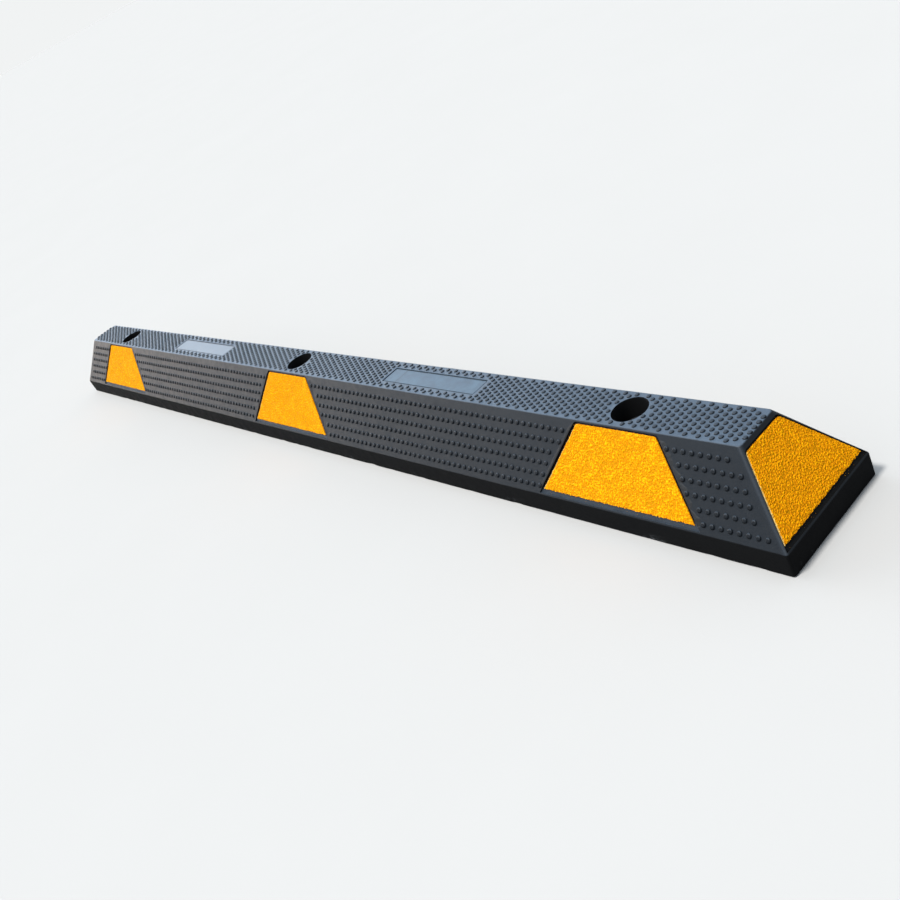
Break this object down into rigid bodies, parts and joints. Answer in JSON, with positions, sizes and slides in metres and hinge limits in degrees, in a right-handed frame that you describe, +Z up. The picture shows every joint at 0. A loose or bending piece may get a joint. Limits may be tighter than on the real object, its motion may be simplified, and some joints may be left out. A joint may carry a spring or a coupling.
{
  "type": "parking wheel stop",
  "caption": "Moulded black rubber parking wheel stop with studded faces, yellow reflective sheets and counterbored anchor holes.",
  "frame": {"origin": "centre of the base, on the ground", "axes": "+X along the stop, +Y across it, +Z up from the ground"},
  "size_m": [1.65, 0.14, 0.1],
  "materials": {
    "rubber": "matt moulded black rubber with round studs",
    "reflective_sheet": "coarse beaded yellow reflective sheet",
    "carrier_film": "pale film",
    "washer_steel": "dark dusty steel"
  },
  "bodies": {
    "root": {"rubber_body": "rubber", "front_sheet_left": "reflective_sheet", "front_sheet_centre": "reflective_sheet", "front_sheet_right": "reflective_sheet", "back_sheet_left": "reflective_sheet", "back_sheet_centre": "reflective_sheet", "back_sheet_right": "reflective_sheet", "front_film_left": "carrier_film", "front_film_centre": "carrier_film", "front_film_right": "carrier_film", "back_film_left": "carrier_film", "back_film_centre": "carrier_film", "back_film_right": "carrier_film", "end_sheet_left": "reflective_sheet", "end_sheet_right": "reflective_sheet", "end_film_left": "carrier_film", "end_film_right": "carrier_film", "seat_washer_left": "washer_steel", "seat_washer_centre": "washer_steel", "seat_washer_right": "washer_steel"}
  },
  "joints": []
}
